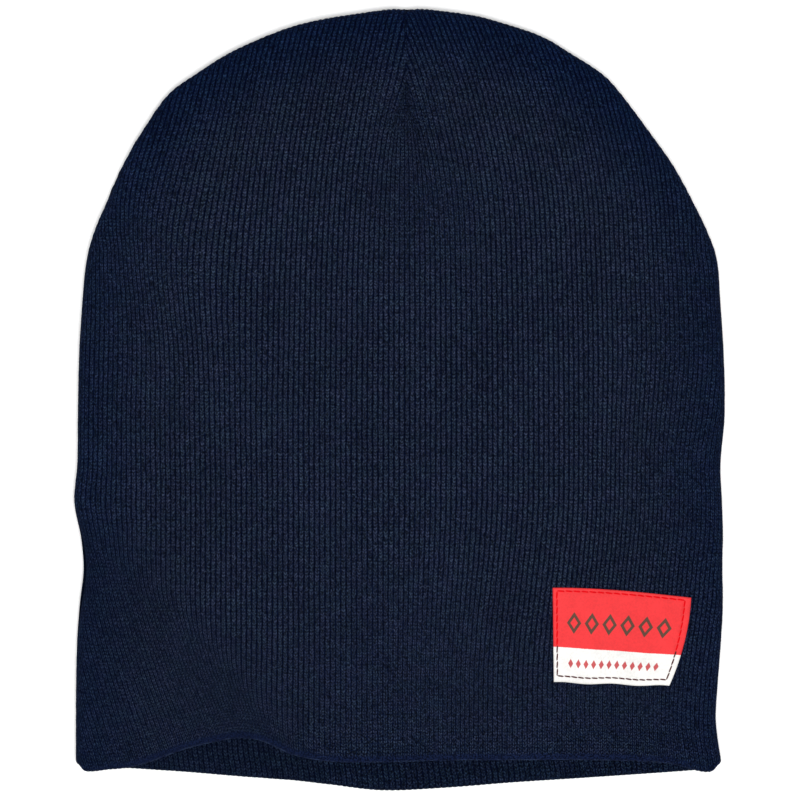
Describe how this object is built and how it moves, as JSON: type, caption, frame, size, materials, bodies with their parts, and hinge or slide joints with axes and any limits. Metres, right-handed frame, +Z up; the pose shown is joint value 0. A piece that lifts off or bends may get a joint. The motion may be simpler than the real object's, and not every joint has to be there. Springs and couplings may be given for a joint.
{
  "type": "beanie",
  "caption": "Cuffless rib-knit beanie lying flat: a hollow double-layer knit cap with a rounded, darted crown, an open hem and a small woven label at the lower right.",
  "frame": {"origin": "on the surface that the cap lies on, under the middle of its box", "axes": "+Y from the mouth towards the crown, +X towards the side with the label, +Z up from the back layer to the front layer"},
  "size_m": [0.222, 0.267, 0.0205],
  "materials": {
    "navy_knit": "fine rib knit in dark navy yarn, matt with a soft blue sheen at the edges",
    "woven_label": "close satin weave, red above and white below, sewn round with thread"
  },
  "bodies": {
    "root": {"knit_shell": "navy_knit", "label": "woven_label"}
  },
  "joints": []
}
